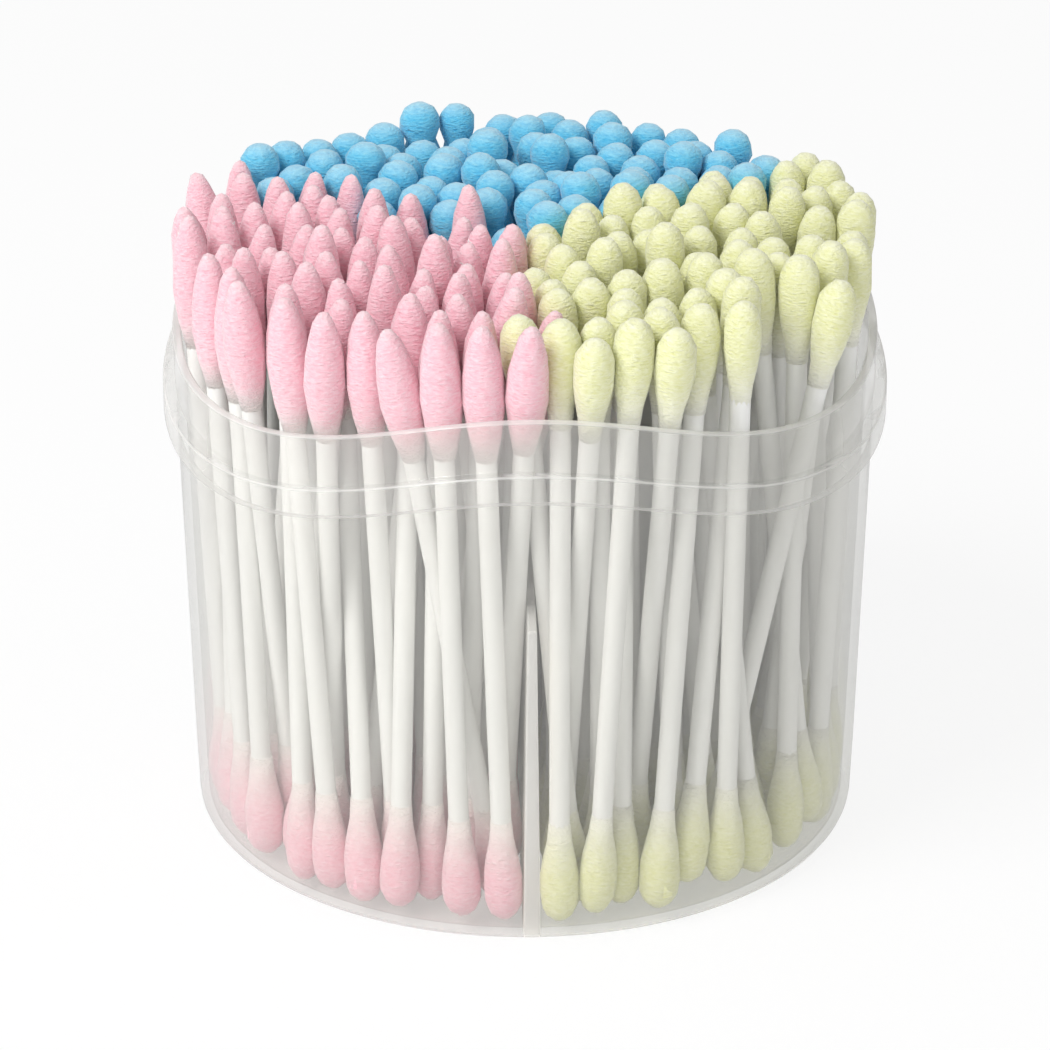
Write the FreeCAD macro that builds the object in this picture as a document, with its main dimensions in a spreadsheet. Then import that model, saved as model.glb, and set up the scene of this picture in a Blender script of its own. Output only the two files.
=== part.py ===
"""Round three-compartment tub of clear plastic, filled with cotton swabs in three colours.

Frame: +Z up, origin at the centre of the tub's underside, -Y the front.
Millimetres. Every size that can be set by itself is a cell of the sheet.
"""
import FreeCAD, Part
import Sketcher
import math
import os
import random

V = FreeCAD.Vector
doc = FreeCAD.newDocument("CottonSwabTub")
os.makedirs("parts", exist_ok=True)


# Driving dimensions

SIZES = {
    # tub
    "base_radius": 40.4,
    "rim_radius": 42.1,
    "rim_height": 63.7,
    "rim_wave": 3.4,
    "rim_wave_second": 0.3,
    "neck_height": 6.0,
    "flange_height": 3.6,
    "flange_reach": 1.3,
    "wall_thickness": 1.1,
    "floor_thickness": 1.1,
    "standing_rib_height": 0.4,
    "standing_rib_reach": 36.0,
    "corner_radius": 2.5,
    "partition_height": 41.0,
    "partition_foot": 2.0,
    "partition_crest": 1.0,
    # swabs
    "pink_swab_length": 75.5,
    "yellow_swab_length": 75.5,
    "blue_swab_length": 74.0,
    "stick_radius": 1.2,
    "tip_cover": 2.0,
    "tip_neck_wrap": 0.25,
    "pointed_length": 16.5,
    "pointed_radius": 2.3,
    "drop_length": 13.0,
    "drop_radius": 2.2,
    "bud_length": 12.5,
    "bud_radius": 2.2,
    "gourd_length": 13.5,
    "gourd_radius": 2.35,
    "gourd_waist_depth": 0.6,
    # how the swabs stand
    "swabs_in_compartment": 69,
    "swab_clearance": 0.12,
    "lean_allowance": 0.7,
    "head_spread": 1.3,
    "lean_spread": 1.0,
    "crossing_share": 0.45,
    "crossing_reach": 9.5,
    "lift_range": 2.4,
}
COMPARTMENTS = 3
PARTITION_AZIMUTHS = [-90.0, 30.0, 150.0]

sheet = doc.addObject("Spreadsheet::Sheet", "Dimensions")
for row, (alias, value) in enumerate(SIZES.items(), start=1):
    sheet.set(f"A{row}", alias)
    sheet.set(f"B{row}", str(value))
    sheet.setAlias(f"B{row}", alias)
doc.recompute()


CELL_VALUES = {alias: float(getattr(sheet, alias)) for alias in SIZES}


def size(alias):
    """The value of a named cell."""
    return CELL_VALUES[alias]


def bind(target, prop, formula):
    """Tie a property or constraint to the sheet."""
    for alias in sorted(SIZES, key=len, reverse=True):
        formula = formula.replace(f"[{alias}]", f"{sheet.Name}.{alias}")
    target.setExpression(prop, formula)


def origin_plane(body, role):
    return next(feature for feature in body.Origin.OriginFeatures if feature.Role == role)


def new_sketch(body, name, role):
    sketch = body.newObject("Sketcher::SketchObject", name)
    sketch.AttachmentSupport = [(origin_plane(body, role), "")]
    sketch.MapMode = "FlatFace"
    return sketch


# Shape of the wall, shared by the tub and by the swabs that stand inside it

def wall_outer_radius(z):
    """Outside of the wall at a height: one straight draft from floor to rim."""
    share = z / size("rim_height")
    return size("base_radius") + (size("rim_radius") - size("base_radius")) * share


def wall_inner_radius(z):
    return wall_outer_radius(z) - size("wall_thickness")


def floor_top():
    """Height of the floor inside; the underside hangs clear of the table on three low ribs."""
    return size("standing_rib_height") + size("floor_thickness")


def rim_rise(azimuth):
    """How far the rim stands above its mean height: highest over each partition."""
    turn = math.radians(COMPARTMENTS * (azimuth - PARTITION_AZIMUTHS[0]))
    return size("rim_wave") * math.cos(turn) + size("rim_wave_second") * math.cos(2 * turn)


def partition_half(z):
    """Half the thickness of a partition at a height."""
    share = z / size("partition_height")
    full = size("partition_foot") + (size("partition_crest") - size("partition_foot")) * share
    return full / 2


# Tub

def point_constraints(sketch, points):
    """Lines through the points, closed, each corner placed by two bound distances."""
    first = len(sketch.Geometry)
    count = len(points)
    for index, (x, y, _, _) in enumerate(points):
        following = points[(index + 1) % count]
        sketch.addGeometry(Part.LineSegment(V(x, y, 0), V(following[0], following[1], 0)), False)
    for index in range(count):
        sketch.addConstraint(Sketcher.Constraint("Coincident", first + index, 2,
                                                 first + (index + 1) % count, 1))
    for index, (x, y, x_formula, y_formula) in enumerate(points):
        for kind, value, formula in (("DistanceX", x, x_formula), ("DistanceY", y, y_formula)):
            if formula == "0":
                on_axis = -2 if kind == "DistanceX" else -1
                sketch.addConstraint(Sketcher.Constraint("PointOnObject", first + index, 1, on_axis))
                continue
            number = sketch.addConstraint(
                Sketcher.Constraint(kind, -1, 1, first + index, 1, value))
            bind(sketch, f"Constraints[{number}]", formula)


def build_shell():
    """Partitions, trimmed to the middle of the wall, then the turned wall and floor."""
    body = doc.addObject("PartDesign::Body", "shell")
    full_height = size("rim_height") + size("rim_wave") + size("rim_wave_second")
    full_formula = "[rim_height] + [rim_wave] + [rim_wave_second]"

    plate = new_sketch(body, "partition_section", "XZ_Plane")
    foot, crest = size("partition_foot") / 2, size("partition_crest") / 2
    top = size("partition_height")
    point_constraints(plate, [
        (-foot, 0, "-[partition_foot] / 2", "0"),
        (foot, 0, "[partition_foot] / 2", "0"),
        (crest, top, "[partition_crest] / 2", "[partition_height]"),
        (-crest, top, "-[partition_crest] / 2", "[partition_height]"),
    ])
    pad = body.newObject("PartDesign::Pad", "front_partition")
    pad.Profile = plate
    bind(pad, "Length", "[rim_radius]")
    doc.recompute()

    pattern = body.newObject("PartDesign::PolarPattern", "three_partitions")
    pattern.Originals = [pad]
    pattern.Axis = (origin_plane(body, "Z_Axis"), [""])
    pattern.Angle = 360
    pattern.Occurrences = COMPARTMENTS
    body.Tip = pattern
    doc.recompute()

    trim = new_sketch(body, "trim_section", "XZ_Plane")
    mid_base = size("base_radius") - size("wall_thickness") / 2
    mid_rim = size("rim_radius") - size("wall_thickness") / 2
    far = 2 * size("rim_radius")
    reach = size("standing_rib_reach")
    mid_floor = size("standing_rib_height") + size("floor_thickness") / 2
    mid_floor_formula = "[standing_rib_height] + [floor_thickness] / 2"
    point_constraints(trim, [
        (mid_base, mid_floor, "[base_radius] - [wall_thickness] / 2", mid_floor_formula),
        (reach, mid_floor, "[standing_rib_reach]", mid_floor_formula),
        (reach, 0, "[standing_rib_reach]", "0"),
        (far, 0, "2 * [rim_radius]", "0"),
        (far, size("rim_height"), "2 * [rim_radius]", "[rim_height]"),
        (mid_rim, size("rim_height"), "[rim_radius] - [wall_thickness] / 2", "[rim_height]"),
    ])
    groove = body.newObject("PartDesign::Groove", "partition_trim")
    groove.Profile = trim
    groove.ReferenceAxis = (trim, ["V_Axis"])
    groove.Angle = 360
    doc.recompute()

    wall = new_sketch(body, "wall_section", "XZ_Plane")
    slope = "([rim_radius] - [base_radius]) / [rim_height]"
    outer_top = wall_outer_radius(full_height)
    outer_formula = f"[base_radius] + {slope} * ({full_formula})"
    rib, top_of_floor = size("standing_rib_height"), floor_top()
    top_formula = "[standing_rib_height] + [floor_thickness]"
    point_constraints(wall, [
        (0, rib, "0", "[standing_rib_height]"),
        (wall_outer_radius(rib), rib, f"[base_radius] + {slope} * [standing_rib_height]",
         "[standing_rib_height]"),
        (outer_top, full_height, outer_formula, full_formula),
        (outer_top - size("wall_thickness"), full_height,
         f"{outer_formula} - [wall_thickness]", full_formula),
        (wall_inner_radius(top_of_floor), top_of_floor,
         f"[base_radius] + {slope} * ({top_formula}) - [wall_thickness]", top_formula),
        (0, top_of_floor, "0", top_formula),
    ])
    turned = body.newObject("PartDesign::Revolution", "wall_and_floor")
    turned.Profile = wall
    turned.ReferenceAxis = (wall, ["V_Axis"])
    turned.Angle = 360
    body.Tip = turned
    doc.recompute()

    corner = body.newObject("PartDesign::Fillet", "bottom_corner")
    corner.Base = (turned, [bottom_edge(turned.Shape)])
    bind(corner, "Radius", "[corner_radius]")
    body.Tip = corner
    doc.recompute()
    return body


def bottom_edge(shape):
    """Name of the round edge where the outside of the wall meets the underside."""
    for number, edge in enumerate(shape.Edges, start=1):
        box = edge.BoundBox
        if box.ZMax < floor_top() / 2 and box.XMax > size("base_radius") * 0.99:
            return f"Edge{number}"
    raise RuntimeError("bottom edge not found")


def wavy_sweep(name, section):
    """A section of (radius, height above the rim) corners, carried once round the wavy rim."""
    middle = size("rim_radius")
    steps = 16 * COMPARTMENTS
    points = []
    for step in range(steps):
        azimuth = PARTITION_AZIMUTHS[0] + 360.0 * step / steps
        angle = math.radians(azimuth)
        height = size("rim_height") + rim_rise(azimuth)
        points.append(V(middle * math.cos(angle), middle * math.sin(angle), height))
    curve = Part.BSplineCurve()
    curve.interpolate(Points=points, PeriodicFlag=True)
    start = points[0].z
    corners = [V(0, -radius, start + height) for radius, height in section]
    pipe = Part.BRepOffsetAPI.MakePipeShell(Part.Wire([curve.toShape()]))
    pipe.setBiNormalMode(V(0, 0, 1))
    pipe.add(Part.makePolygon(corners + [corners[0]]))
    pipe.build()
    pipe.makeSolid()
    feature = doc.addObject("Part::Feature", name)
    feature.Shape = pipe.shape()
    return feature


def build_tub():
    shell = build_shell()
    inside = size("rim_radius") - size("wall_thickness") / 2
    outside = size("rim_radius") + size("flange_reach")
    ledge = -size("neck_height")
    flange = wavy_sweep("flange", [
        (inside, ledge - size("flange_height")),
        (outside, ledge - size("flange_height")),
        (outside, ledge),
        (inside, ledge),
    ])
    reach = 4 * size("wall_thickness")
    above = 4 * size("rim_wave") + size("neck_height")
    rim_cut = wavy_sweep("rim_cut", [
        (size("rim_radius") - reach, 0),
        (size("rim_radius") + reach, 0),
        (size("rim_radius") + reach, above),
        (size("rim_radius") - reach, above),
    ])
    flanged = doc.addObject("Part::Fuse", "flanged_shell")
    flanged.Base = shell
    flanged.Tool = flange
    tub = doc.addObject("Part::Cut", "tub")
    tub.Base = flanged
    tub.Tool = rim_cut
    doc.recompute()
    return tub


# Cotton tips

class Tip:
    """A wound tip, described from its outer end: nose, belly, waist and tail down to the stick."""

    def __init__(self, length, radius, nose, belly_end, fullness, waist_at=0.0, waist_depth=0.0):
        self.length = length
        self.radius = radius
        self.nose = nose * length
        self.belly_end = belly_end * length
        self.fullness = fullness
        self.waist_at = waist_at * length
        self.waist_depth = waist_depth

    def radius_at(self, along):
        neck = size("stick_radius") + size("tip_neck_wrap")
        if along <= 0:
            return 0.0
        if along < self.nose:
            radius = self.radius * (1 - (1 - along / self.nose) ** self.fullness) ** 0.5
        elif along <= self.belly_end:
            radius = self.radius
        else:
            share = min(1.0, (along - self.belly_end) / (self.length - self.belly_end))
            radius = neck + (self.radius - neck) * (1 + math.cos(math.pi * share)) / 2
        if self.waist_depth:
            spread = 0.09 * self.length
            radius -= self.waist_depth * math.exp(-((along - self.waist_at) / spread) ** 2)
        return max(radius, 0.0)


TIPS = {
    "pointed": Tip(size("pointed_length"), size("pointed_radius"), 0.52, 0.56, 1.75),
    "drop": Tip(size("drop_length"), size("drop_radius"), 0.27, 0.32, 2.1),
    "bud": Tip(size("bud_length"), size("bud_radius"), 0.33, 0.46, 2.2),
    "gourd": Tip(size("gourd_length"), size("gourd_radius"), 0.19, 0.66, 2.1,
                 0.37, size("gourd_waist_depth")),
}
TIP_OUTLINE_POINTS = 14


def build_tip(name, tip):
    """Turned tip with a blind hole for the stick, outer end at the origin, stick towards +Z."""
    outline = []
    for index in range(TIP_OUTLINE_POINTS):
        share = 1 - math.cos(0.5 * math.pi * index / (TIP_OUTLINE_POINTS - 1))
        along = tip.length * share
        outline.append(V(tip.radius_at(along), 0, along))
    curve = Part.BSplineCurve()
    curve.interpolate(Points=outline)
    bore = size("stick_radius")
    cover = size("tip_cover")
    corners = [outline[-1], V(bore, 0, tip.length), V(bore, 0, cover), V(0, 0, cover), V(0, 0, 0)]
    edges = [curve.toShape()]
    edges += [Part.makeLine(a, b) for a, b in zip(corners, corners[1:])]
    face = Part.Face(Part.Wire(edges))
    feature = doc.addObject("Part::Feature", name)
    feature.Shape = face.revolve(V(0, 0, 0), V(0, 0, 1), 360)
    return feature


# How the swabs stand

COLOURS = {
    "pink": {"azimuth": 210.0, "upper": "pointed", "lower": "drop"},
    "yellow": {"azimuth": 330.0, "upper": "bud", "lower": "bud"},
    "blue": {"azimuth": 90.0, "upper": "gourd", "lower": "bud"},
}
SHUFFLE_SEED = 7
SETTLE_ROUNDS = 1400


def levels():
    """Heights at which the swabs are compared: close together at the tips, wide between."""
    bottom = floor_top()
    tip_span = size("pointed_length") + size("lift_range")
    top = bottom + size("pink_swab_length")
    fine, coarse = 18, 8
    low = [bottom + tip_span * (step + 0.5) / fine for step in range(fine)]
    high = [top - size("pointed_length") + tip_span * (step + 0.5) / fine for step in range(fine)]
    gap = high[0] - low[-1]
    middle = [low[-1] + gap * (step + 1) / (coarse + 1) for step in range(coarse)]
    return sorted(low + middle + high + [size("partition_height")])


LEVELS = levels()


def compartment_centre(azimuth):
    """Centre of area of one compartment."""
    half = math.radians(180.0 / COMPARTMENTS)
    out = 2 * wall_inner_radius(0) * math.sin(half) / (3 * half)
    return out * math.cos(math.radians(azimuth)), out * math.sin(math.radians(azimuth))


class Swab:
    """One swab: its axis from bottom to top, and its radius at each level."""

    def __init__(self, colour, x, y, rng):
        self.colour = colour
        self.low = [x, y]
        self.length = size(f"{colour}_swab_length")
        self.lift = floor_top() + size("swab_clearance")
        self.lift += size("lift_range") * rng.random() ** 2
        centre_x, centre_y = compartment_centre(COLOURS[colour]["azimuth"])
        spread = size("head_spread")
        self.high = [centre_x + spread * (x - centre_x) + rng.gauss(0, size("lean_spread")),
                     centre_y + spread * (y - centre_y) + rng.gauss(0, size("lean_spread"))]
        self.home = list(self.high)
        self.shares = [(z - self.lift) / self.length for z in LEVELS]
        self.radii = [self.radius_at(z - self.lift) for z in LEVELS]

    def radius_at(self, along):
        length = self.length
        if along < 0 or along > length:
            return None
        lower = TIPS[COLOURS[self.colour]["lower"]]
        upper = TIPS[COLOURS[self.colour]["upper"]]
        if along < lower.length:
            return lower.radius_at(along)
        if length - along < upper.length:
            return upper.radius_at(length - along)
        return size("stick_radius")

    def place(self):
        """Where the axis passes each level."""
        dx, dy = self.high[0] - self.low[0], self.high[1] - self.low[1]
        self.path = [(self.low[0] + dx * share, self.low[1] + dy * share) for share in self.shares]

    def lean(self):
        """How far the axis goes sideways per unit of length."""
        return math.hypot(self.high[0] - self.low[0], self.high[1] - self.low[1]) / self.length

    def push(self, level, dx, dy):
        """Move the axis by (dx, dy) at a level, by turning it about its far end."""
        up = self.shares[level]
        down = 1 - up
        weight = up * up + down * down
        self.low[0] += dx * down / weight
        self.low[1] += dy * down / weight
        self.high[0] += dx * up / weight
        self.high[1] += dy * up / weight


def compartment_points(azimuth, spacing):
    """Points of a triangular grid that lie clear of the walls of one compartment."""
    margin = max(size("drop_radius"), size("bud_radius")) + size("swab_clearance")
    reach = wall_inner_radius(0) - margin
    points = []
    count = int(reach / spacing) + 2
    middle = math.radians(azimuth)
    for row in range(-count, 2 * count):
        for column in range(-2 * count, 2 * count):
            across = (column + 0.5 * (row % 2)) * spacing
            out = (row + 0.5) * spacing * math.sqrt(0.75)
            if math.hypot(across, out) > reach:
                continue
            side = out * math.sin(math.radians(60)) - abs(across) * math.cos(math.radians(60))
            if side < margin + size("partition_foot") / 2:
                continue
            points.append((out * math.cos(middle) - across * math.sin(middle),
                           out * math.sin(middle) + across * math.cos(middle)))
    return points


def first_layout(rng):
    """The wanted number of swabs in each compartment, on the widest grid that holds them."""
    wanted = int(size("swabs_in_compartment"))
    swabs = []
    for colour, choice in COLOURS.items():
        spacing = 3 * size("bud_radius")
        points = []
        while len(points) < wanted:
            spacing *= 0.99
            points = compartment_points(choice["azimuth"], spacing)
        rng.shuffle(points)
        group = [Swab(colour, x, y, rng) for x, y in points[:wanted]]
        cross_heads(group, rng)
        swabs += group
    return swabs


def cross_heads(group, rng):
    """Some swabs trade the places of their heads with one nearby, so that sticks cross."""
    for swab in group:
        if rng.random() > size("crossing_share"):
            continue
        near = [other for other in group if other is not swab
                and math.hypot(other.home[0] - swab.home[0], other.home[1] - swab.home[1])
                < size("crossing_reach")]
        other = rng.choice(near)
        swab.home, other.home = other.home, swab.home
    for swab in group:
        swab.high = list(swab.home)


def axis_distance(first, second):
    """Least distance between two axes on the level, anywhere between their ends."""
    low = (first.low[0] - second.low[0], first.low[1] - second.low[1])
    high = (first.high[0] - second.high[0], first.high[1] - second.high[1])
    change = (high[0] - low[0], high[1] - low[1])
    square = change[0] ** 2 + change[1] ** 2 or 1.0
    share = min(1.0, max(0.0, -(low[0] * change[0] + low[1] * change[1]) / square))
    return math.hypot(low[0] + share * change[0], low[1] + share * change[1])


def near_pairs(swabs):
    """Pairs that could touch, each with the gap that they need at every level they share."""
    pairs = []
    gap = size("swab_clearance")
    reach = 3 * size("bud_radius")
    for index, first in enumerate(swabs):
        for second in swabs[index + 1:]:
            if axis_distance(first, second) > reach:
                continue
            needs = []
            tilt = size("lean_allowance") * (first.lean() + second.lean())
            for level, (mine, other) in enumerate(zip(first.radii, second.radii)):
                if mine is not None and other is not None:
                    need = mine + other + gap + tilt
                    needs.append((level, need, need * need))
            pairs.append((first, second, needs))
    return pairs


def part_pairs(pairs):
    """Push overlapping pairs apart at the level where they overlap most; the worst overlap."""
    worst = 0.0
    for first, second, needs in pairs:
        mine, other = first.path, second.path
        most, found = 0.0, None
        for level, need, need_square in needs:
            dx = mine[level][0] - other[level][0]
            dy = mine[level][1] - other[level][1]
            square = dx * dx + dy * dy
            if square < need_square and need - math.sqrt(square) > most:
                most = need - math.sqrt(square)
                found = (level, dx, dy)
        if found is None:
            continue
        level, dx, dy = found
        span = math.hypot(dx, dy) or 1.0
        shift = 0.3 * most / span
        first.push(level, dx * shift, dy * shift)
        second.push(level, -dx * shift, -dy * shift)
        worst = max(worst, most)
    return worst


def keep_inside(swab):
    """Push a swab off the wall, as high as the rim stands there, and off its two partitions."""
    gap = size("swab_clearance")
    worst = 0.0
    middle = math.radians(COLOURS[swab.colour]["azimuth"])
    half = math.radians(180.0 / COMPARTMENTS)
    sides = [(math.sin(middle + half), -math.cos(middle + half)),
             (-math.sin(middle - half), math.cos(middle - half))]
    for level, z in enumerate(LEVELS):
        radius = swab.radii[level]
        if radius is None:
            continue
        x, y = swab.path[level]
        span = math.hypot(x, y)
        rim = size("rim_height") + rim_rise(math.degrees(math.atan2(y, x)))
        if z < rim + radius:
            lack = span + radius + gap - wall_inner_radius(z)
            if lack > 0:
                swab.push(level, -0.6 * lack * x / span, -0.6 * lack * y / span)
                worst = max(worst, lack)
        if z < size("partition_height") + radius:
            clear = radius + gap + partition_half(min(z, size("partition_height")))
            for nx, ny in sides:
                lack = clear - (x * nx + y * ny)
                if lack > 0:
                    swab.push(level, 0.6 * lack * nx, 0.6 * lack * ny)
                    worst = max(worst, lack)
    return worst


def settle(swabs):
    """Let the swabs lean towards their own places, then push them apart until none overlap."""
    tolerance = 0.45 * size("swab_clearance")
    worst = 0.0
    for turn in range(SETTLE_ROUNDS):
        if turn % 25 == 0:
            pairs = near_pairs(swabs)
        if turn < SETTLE_ROUNDS // 4:
            for swab in swabs:
                swab.high[0] += 0.02 * (swab.home[0] - swab.high[0])
                swab.high[1] += 0.02 * (swab.home[1] - swab.high[1])
        for swab in swabs:
            swab.place()
        worst = part_pairs(pairs)
        for swab in swabs:
            worst = max(worst, keep_inside(swab))
        if turn > SETTLE_ROUNDS // 4 and worst < tolerance:
            break
    print("settled after", turn + 1, "rounds, worst lack of clearance", round(worst, 3))
    return worst


def add_group(name, master, places):
    """One node: copies of a master at the given places, each its own solid."""
    copies = []
    for place in places:
        copy = master.Shape.copy()
        copy.Placement = place
        copies.append(copy)
    group = doc.addObject("Part::Feature", name)
    group.Shape = Part.Compound(copies)
    return group


def build_swabs():
    rng = random.Random(SHUFFLE_SEED)
    swabs = first_layout(rng)
    settle(swabs)

    masters = {name: build_tip(f"{name}_tip_master", tip) for name, tip in TIPS.items()}
    groups = []
    for colour, choice in COLOURS.items():
        stick = doc.addObject("Part::Cylinder", f"{colour}_stick_master")
        bind(stick, "Radius", "[stick_radius]")
        bind(stick, "Height", f"[{colour}_swab_length] - 2 * [tip_cover]")
        doc.recompute()
        sticks, lower, upper = [], [], []
        for swab in swabs:
            if swab.colour != colour:
                continue
            foot = V(swab.low[0], swab.low[1], swab.lift)
            head = V(swab.high[0], swab.high[1], swab.lift + swab.length)
            axis = (head - foot).normalize()
            end = foot + axis * swab.length
            up = FreeCAD.Rotation(V(0, 0, 1), axis)
            down = FreeCAD.Rotation(V(0, 0, 1), axis * -1)
            lower.append(FreeCAD.Placement(foot, up))
            sticks.append(FreeCAD.Placement(foot + axis * size("tip_cover"), up))
            upper.append(FreeCAD.Placement(end, down))
        groups.append(add_group(f"{colour}_sticks", stick, sticks))
        groups.append(add_group(f"{colour}_upper_tips", masters[choice["upper"]], upper))
        groups.append(add_group(f"{colour}_lower_tips", masters[choice["lower"]], lower))
    return groups


# Build, check and write

nodes = [build_tub()] + build_swabs()
doc.recompute()

for item in doc.Objects:
    if {"Invalid", "Error"} & set(item.State):
        raise RuntimeError(f"{item.Name} failed: {item.State}")
for node in nodes:
    shape = node.Shape
    if shape.isNull() or not shape.isValid():
        raise RuntimeError(f"{node.Label} has no valid shape")
    shape.exportStep(f"parts/{node.Label}.step")
    box = shape.BoundBox
    print(node.Label, len(shape.Solids), "solids", round(shape.Volume, 1), "mm3",
          [round(v, 2) for v in (box.XMin, box.XMax, box.YMin, box.YMax, box.ZMin, box.ZMax)])
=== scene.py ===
# %% [markdown]
# # A tub of cotton swabs
#
# The real object is a round tub of cloudy clear polypropylene with three compartments. Each
# compartment is packed with about seventy cotton swabs: pink with pointed tips, pale yellow with
# round tips and blue with gourd tips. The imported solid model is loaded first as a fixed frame.
# Everything below is fitted to it, in metres.

# %% Load the frame
import math
import random

import bpy
from mathutils import Matrix, Vector


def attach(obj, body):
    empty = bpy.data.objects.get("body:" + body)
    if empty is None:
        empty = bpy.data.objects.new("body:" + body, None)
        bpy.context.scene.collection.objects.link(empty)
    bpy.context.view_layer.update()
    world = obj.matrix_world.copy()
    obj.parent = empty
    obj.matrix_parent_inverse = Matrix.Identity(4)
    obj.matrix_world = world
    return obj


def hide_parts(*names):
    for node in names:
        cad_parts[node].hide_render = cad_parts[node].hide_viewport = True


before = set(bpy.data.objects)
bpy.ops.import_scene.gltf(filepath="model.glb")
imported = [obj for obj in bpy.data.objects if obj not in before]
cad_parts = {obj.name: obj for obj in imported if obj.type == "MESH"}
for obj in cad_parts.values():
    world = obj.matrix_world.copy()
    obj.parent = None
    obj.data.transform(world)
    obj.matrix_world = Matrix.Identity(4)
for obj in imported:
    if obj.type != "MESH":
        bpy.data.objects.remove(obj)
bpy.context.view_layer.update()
MM = 0.001

# %% [markdown]
# ## Helpers
#
# Blender's operators act on whatever is selected, and the loaded nodes come in selected, so each
# new piece starts with a cleared selection. Colours are written as the hex values that a paint
# program shows, and one function turns them into the linear values that shaders need. Points that
# lie closer together than a thousandth of a millimetre count as one.

# %% Helpers for pieces and colours
SAME_PLACE = 0.001 * MM


def select_only(*objects):
    """Selects just these objects, the last one active."""
    bpy.ops.object.select_all(action="DESELECT")
    for item in objects:
        item.select_set(True)
        bpy.context.view_layer.objects.active = item


def linear(hex_colour, alpha=1.0):
    """An sRGB hex colour as linear RGBA."""
    channels = [int(hex_colour[start:start + 2], 16) / 255 for start in (1, 3, 5)]
    bent = [c / 12.92 if c <= 0.04045 else ((c + 0.055) / 1.055) ** 2.4 for c in channels]
    return (*bent, alpha)


def add_node(material, kind, settings=None, **links):
    """Adds a node with settings for its inputs and properties, and links from other outputs.

    An input is given by its name, with _ for a space, or by its number, such as i1.
    """
    node = material.node_tree.nodes.new(kind)

    def socket(name):
        if name[0] == "i" and name[1:].isdigit():
            return node.inputs[int(name[1:])]
        return node.inputs.get(name.replace("_", " "))

    for name, value in (settings or {}).items():
        target = socket(name)
        if target is None:
            setattr(node, name, value)
        else:
            target.default_value = value
    for name, source in links.items():
        material.node_tree.links.new(source, socket(name))
    return node


def new_material(name):
    """An empty node material."""
    material = bpy.data.materials.new(name)
    material.use_nodes = True
    material.node_tree.nodes.clear()
    return material


print("mid grey as a linear value:", round(linear("#808080")[0], 3))

# %% [markdown]
# ## Camera
#
# The photograph looks down at the tub by about 24 degrees with a long lens from rather more than
# half a metre. The camera stands a touch to the left of the front partition.

# %% Camera
CAMERA_DISTANCE = 569 * MM
CAMERA_ELEVATION = math.radians(24.64)
CAMERA_TURN = math.radians(1.2)
CAMERA_PIVOT = Vector((0, 0, 29.2 * MM))
CAMERA_AIM = Vector((0, 0, 36.2 * MM))
CAMERA_LENS = 159.3
CLIP_START = 10 * MM

level = CAMERA_DISTANCE * math.cos(CAMERA_ELEVATION)
camera_place = CAMERA_PIVOT + Vector((-level * math.sin(CAMERA_TURN),
                                      -level * math.cos(CAMERA_TURN),
                                      CAMERA_DISTANCE * math.sin(CAMERA_ELEVATION)))
bpy.ops.object.camera_add(location=camera_place)
camera = bpy.context.object
camera.name = "camera"
camera.rotation_euler = (CAMERA_AIM - camera_place).to_track_quat("-Z", "Y").to_euler()
camera.data.lens = CAMERA_LENS
camera.data.clip_start = CLIP_START
bpy.context.scene.camera = camera
print("camera at", [round(v, 3) for v in camera_place])

# %% [markdown]
# ## Tub
#
# The real tub is one injection moulding: a wall with a slight draft, a bead round the outside, a
# neck that a lid would grip, and a rim that rises and falls three times. Its section is drawn once
# as a chain of rings, each ring extruded from the last, and the neck is then lifted into waves.
# Modelling it afresh, rather than keeping the solid's triangles, gives even quads and small
# rounded edges, which clear plastic needs because it shows every facet.

# %% Tub sizes, the same as the solid's
BASE_RADIUS = 40.4 * MM
RIM_RADIUS = 42.1 * MM
RIM_HEIGHT = 63.7 * MM
RIM_WAVE = 3.4 * MM
RIM_WAVE_SECOND = 0.3 * MM
NECK_HEIGHT = 6.0 * MM
FLANGE_HEIGHT = 3.6 * MM
FLANGE_REACH = 1.3 * MM
WALL = 1.1 * MM
RIB_HEIGHT = 0.4 * MM
RIB_REACH = 36.0 * MM
FLOOR_TOP = RIB_HEIGHT + 1.1 * MM
CORNER = 2.5 * MM
BEAD_FOOT_FILLET = 0.35 * MM
BEAD_TOP_FILLET = 0.25 * MM
EDGE = 0.3 * MM
SIDE_HEIGHTS = [height * MM for height in (10, 22, 34)]
PARTITION_HEIGHT = 41.0 * MM
PARTITION_FOOT = 2.0 * MM
PARTITION_CREST = 1.0 * MM
WAVES = 3
AROUND = 144
DRAFT = (RIM_RADIUS - BASE_RADIUS) / RIM_HEIGHT


def wall_radius(height):
    """Outside radius of the wall at a height."""
    return BASE_RADIUS + DRAFT * height


def rim_rise(azimuth):
    """How far the rim stands above its mean height; it peaks over the front partition."""
    turn = WAVES * (azimuth + math.pi / 2)
    return RIM_WAVE * math.cos(turn) + RIM_WAVE_SECOND * math.cos(2 * turn)


print("rim from", round((RIM_HEIGHT + rim_rise(math.pi / 2)) / MM, 1),
      "to", round((RIM_HEIGHT + rim_rise(-math.pi / 2)) / MM, 1), "mm high")

# %% [markdown]
# The wall's section could be drawn as a curve and turned, but a list of points is easier to read
# and to change: each point is a radius and a height, and every corner is a short arc, because a
# moulding tool leaves no sharp corner. It runs from the middle of the underside out, up over the
# rim and back down to the middle of the floor.

# %% Section of the wall
def arc(centre_r, centre_z, radius, start, stop, steps):
    """Points of an arc in the section plane; angles in degrees from outwards, up positive."""
    points = []
    for step in range(steps + 1):
        angle = math.radians(start + (stop - start) * step / steps)
        points.append((centre_r + radius * math.cos(angle), centre_z + radius * math.sin(angle)))
    return points


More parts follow.
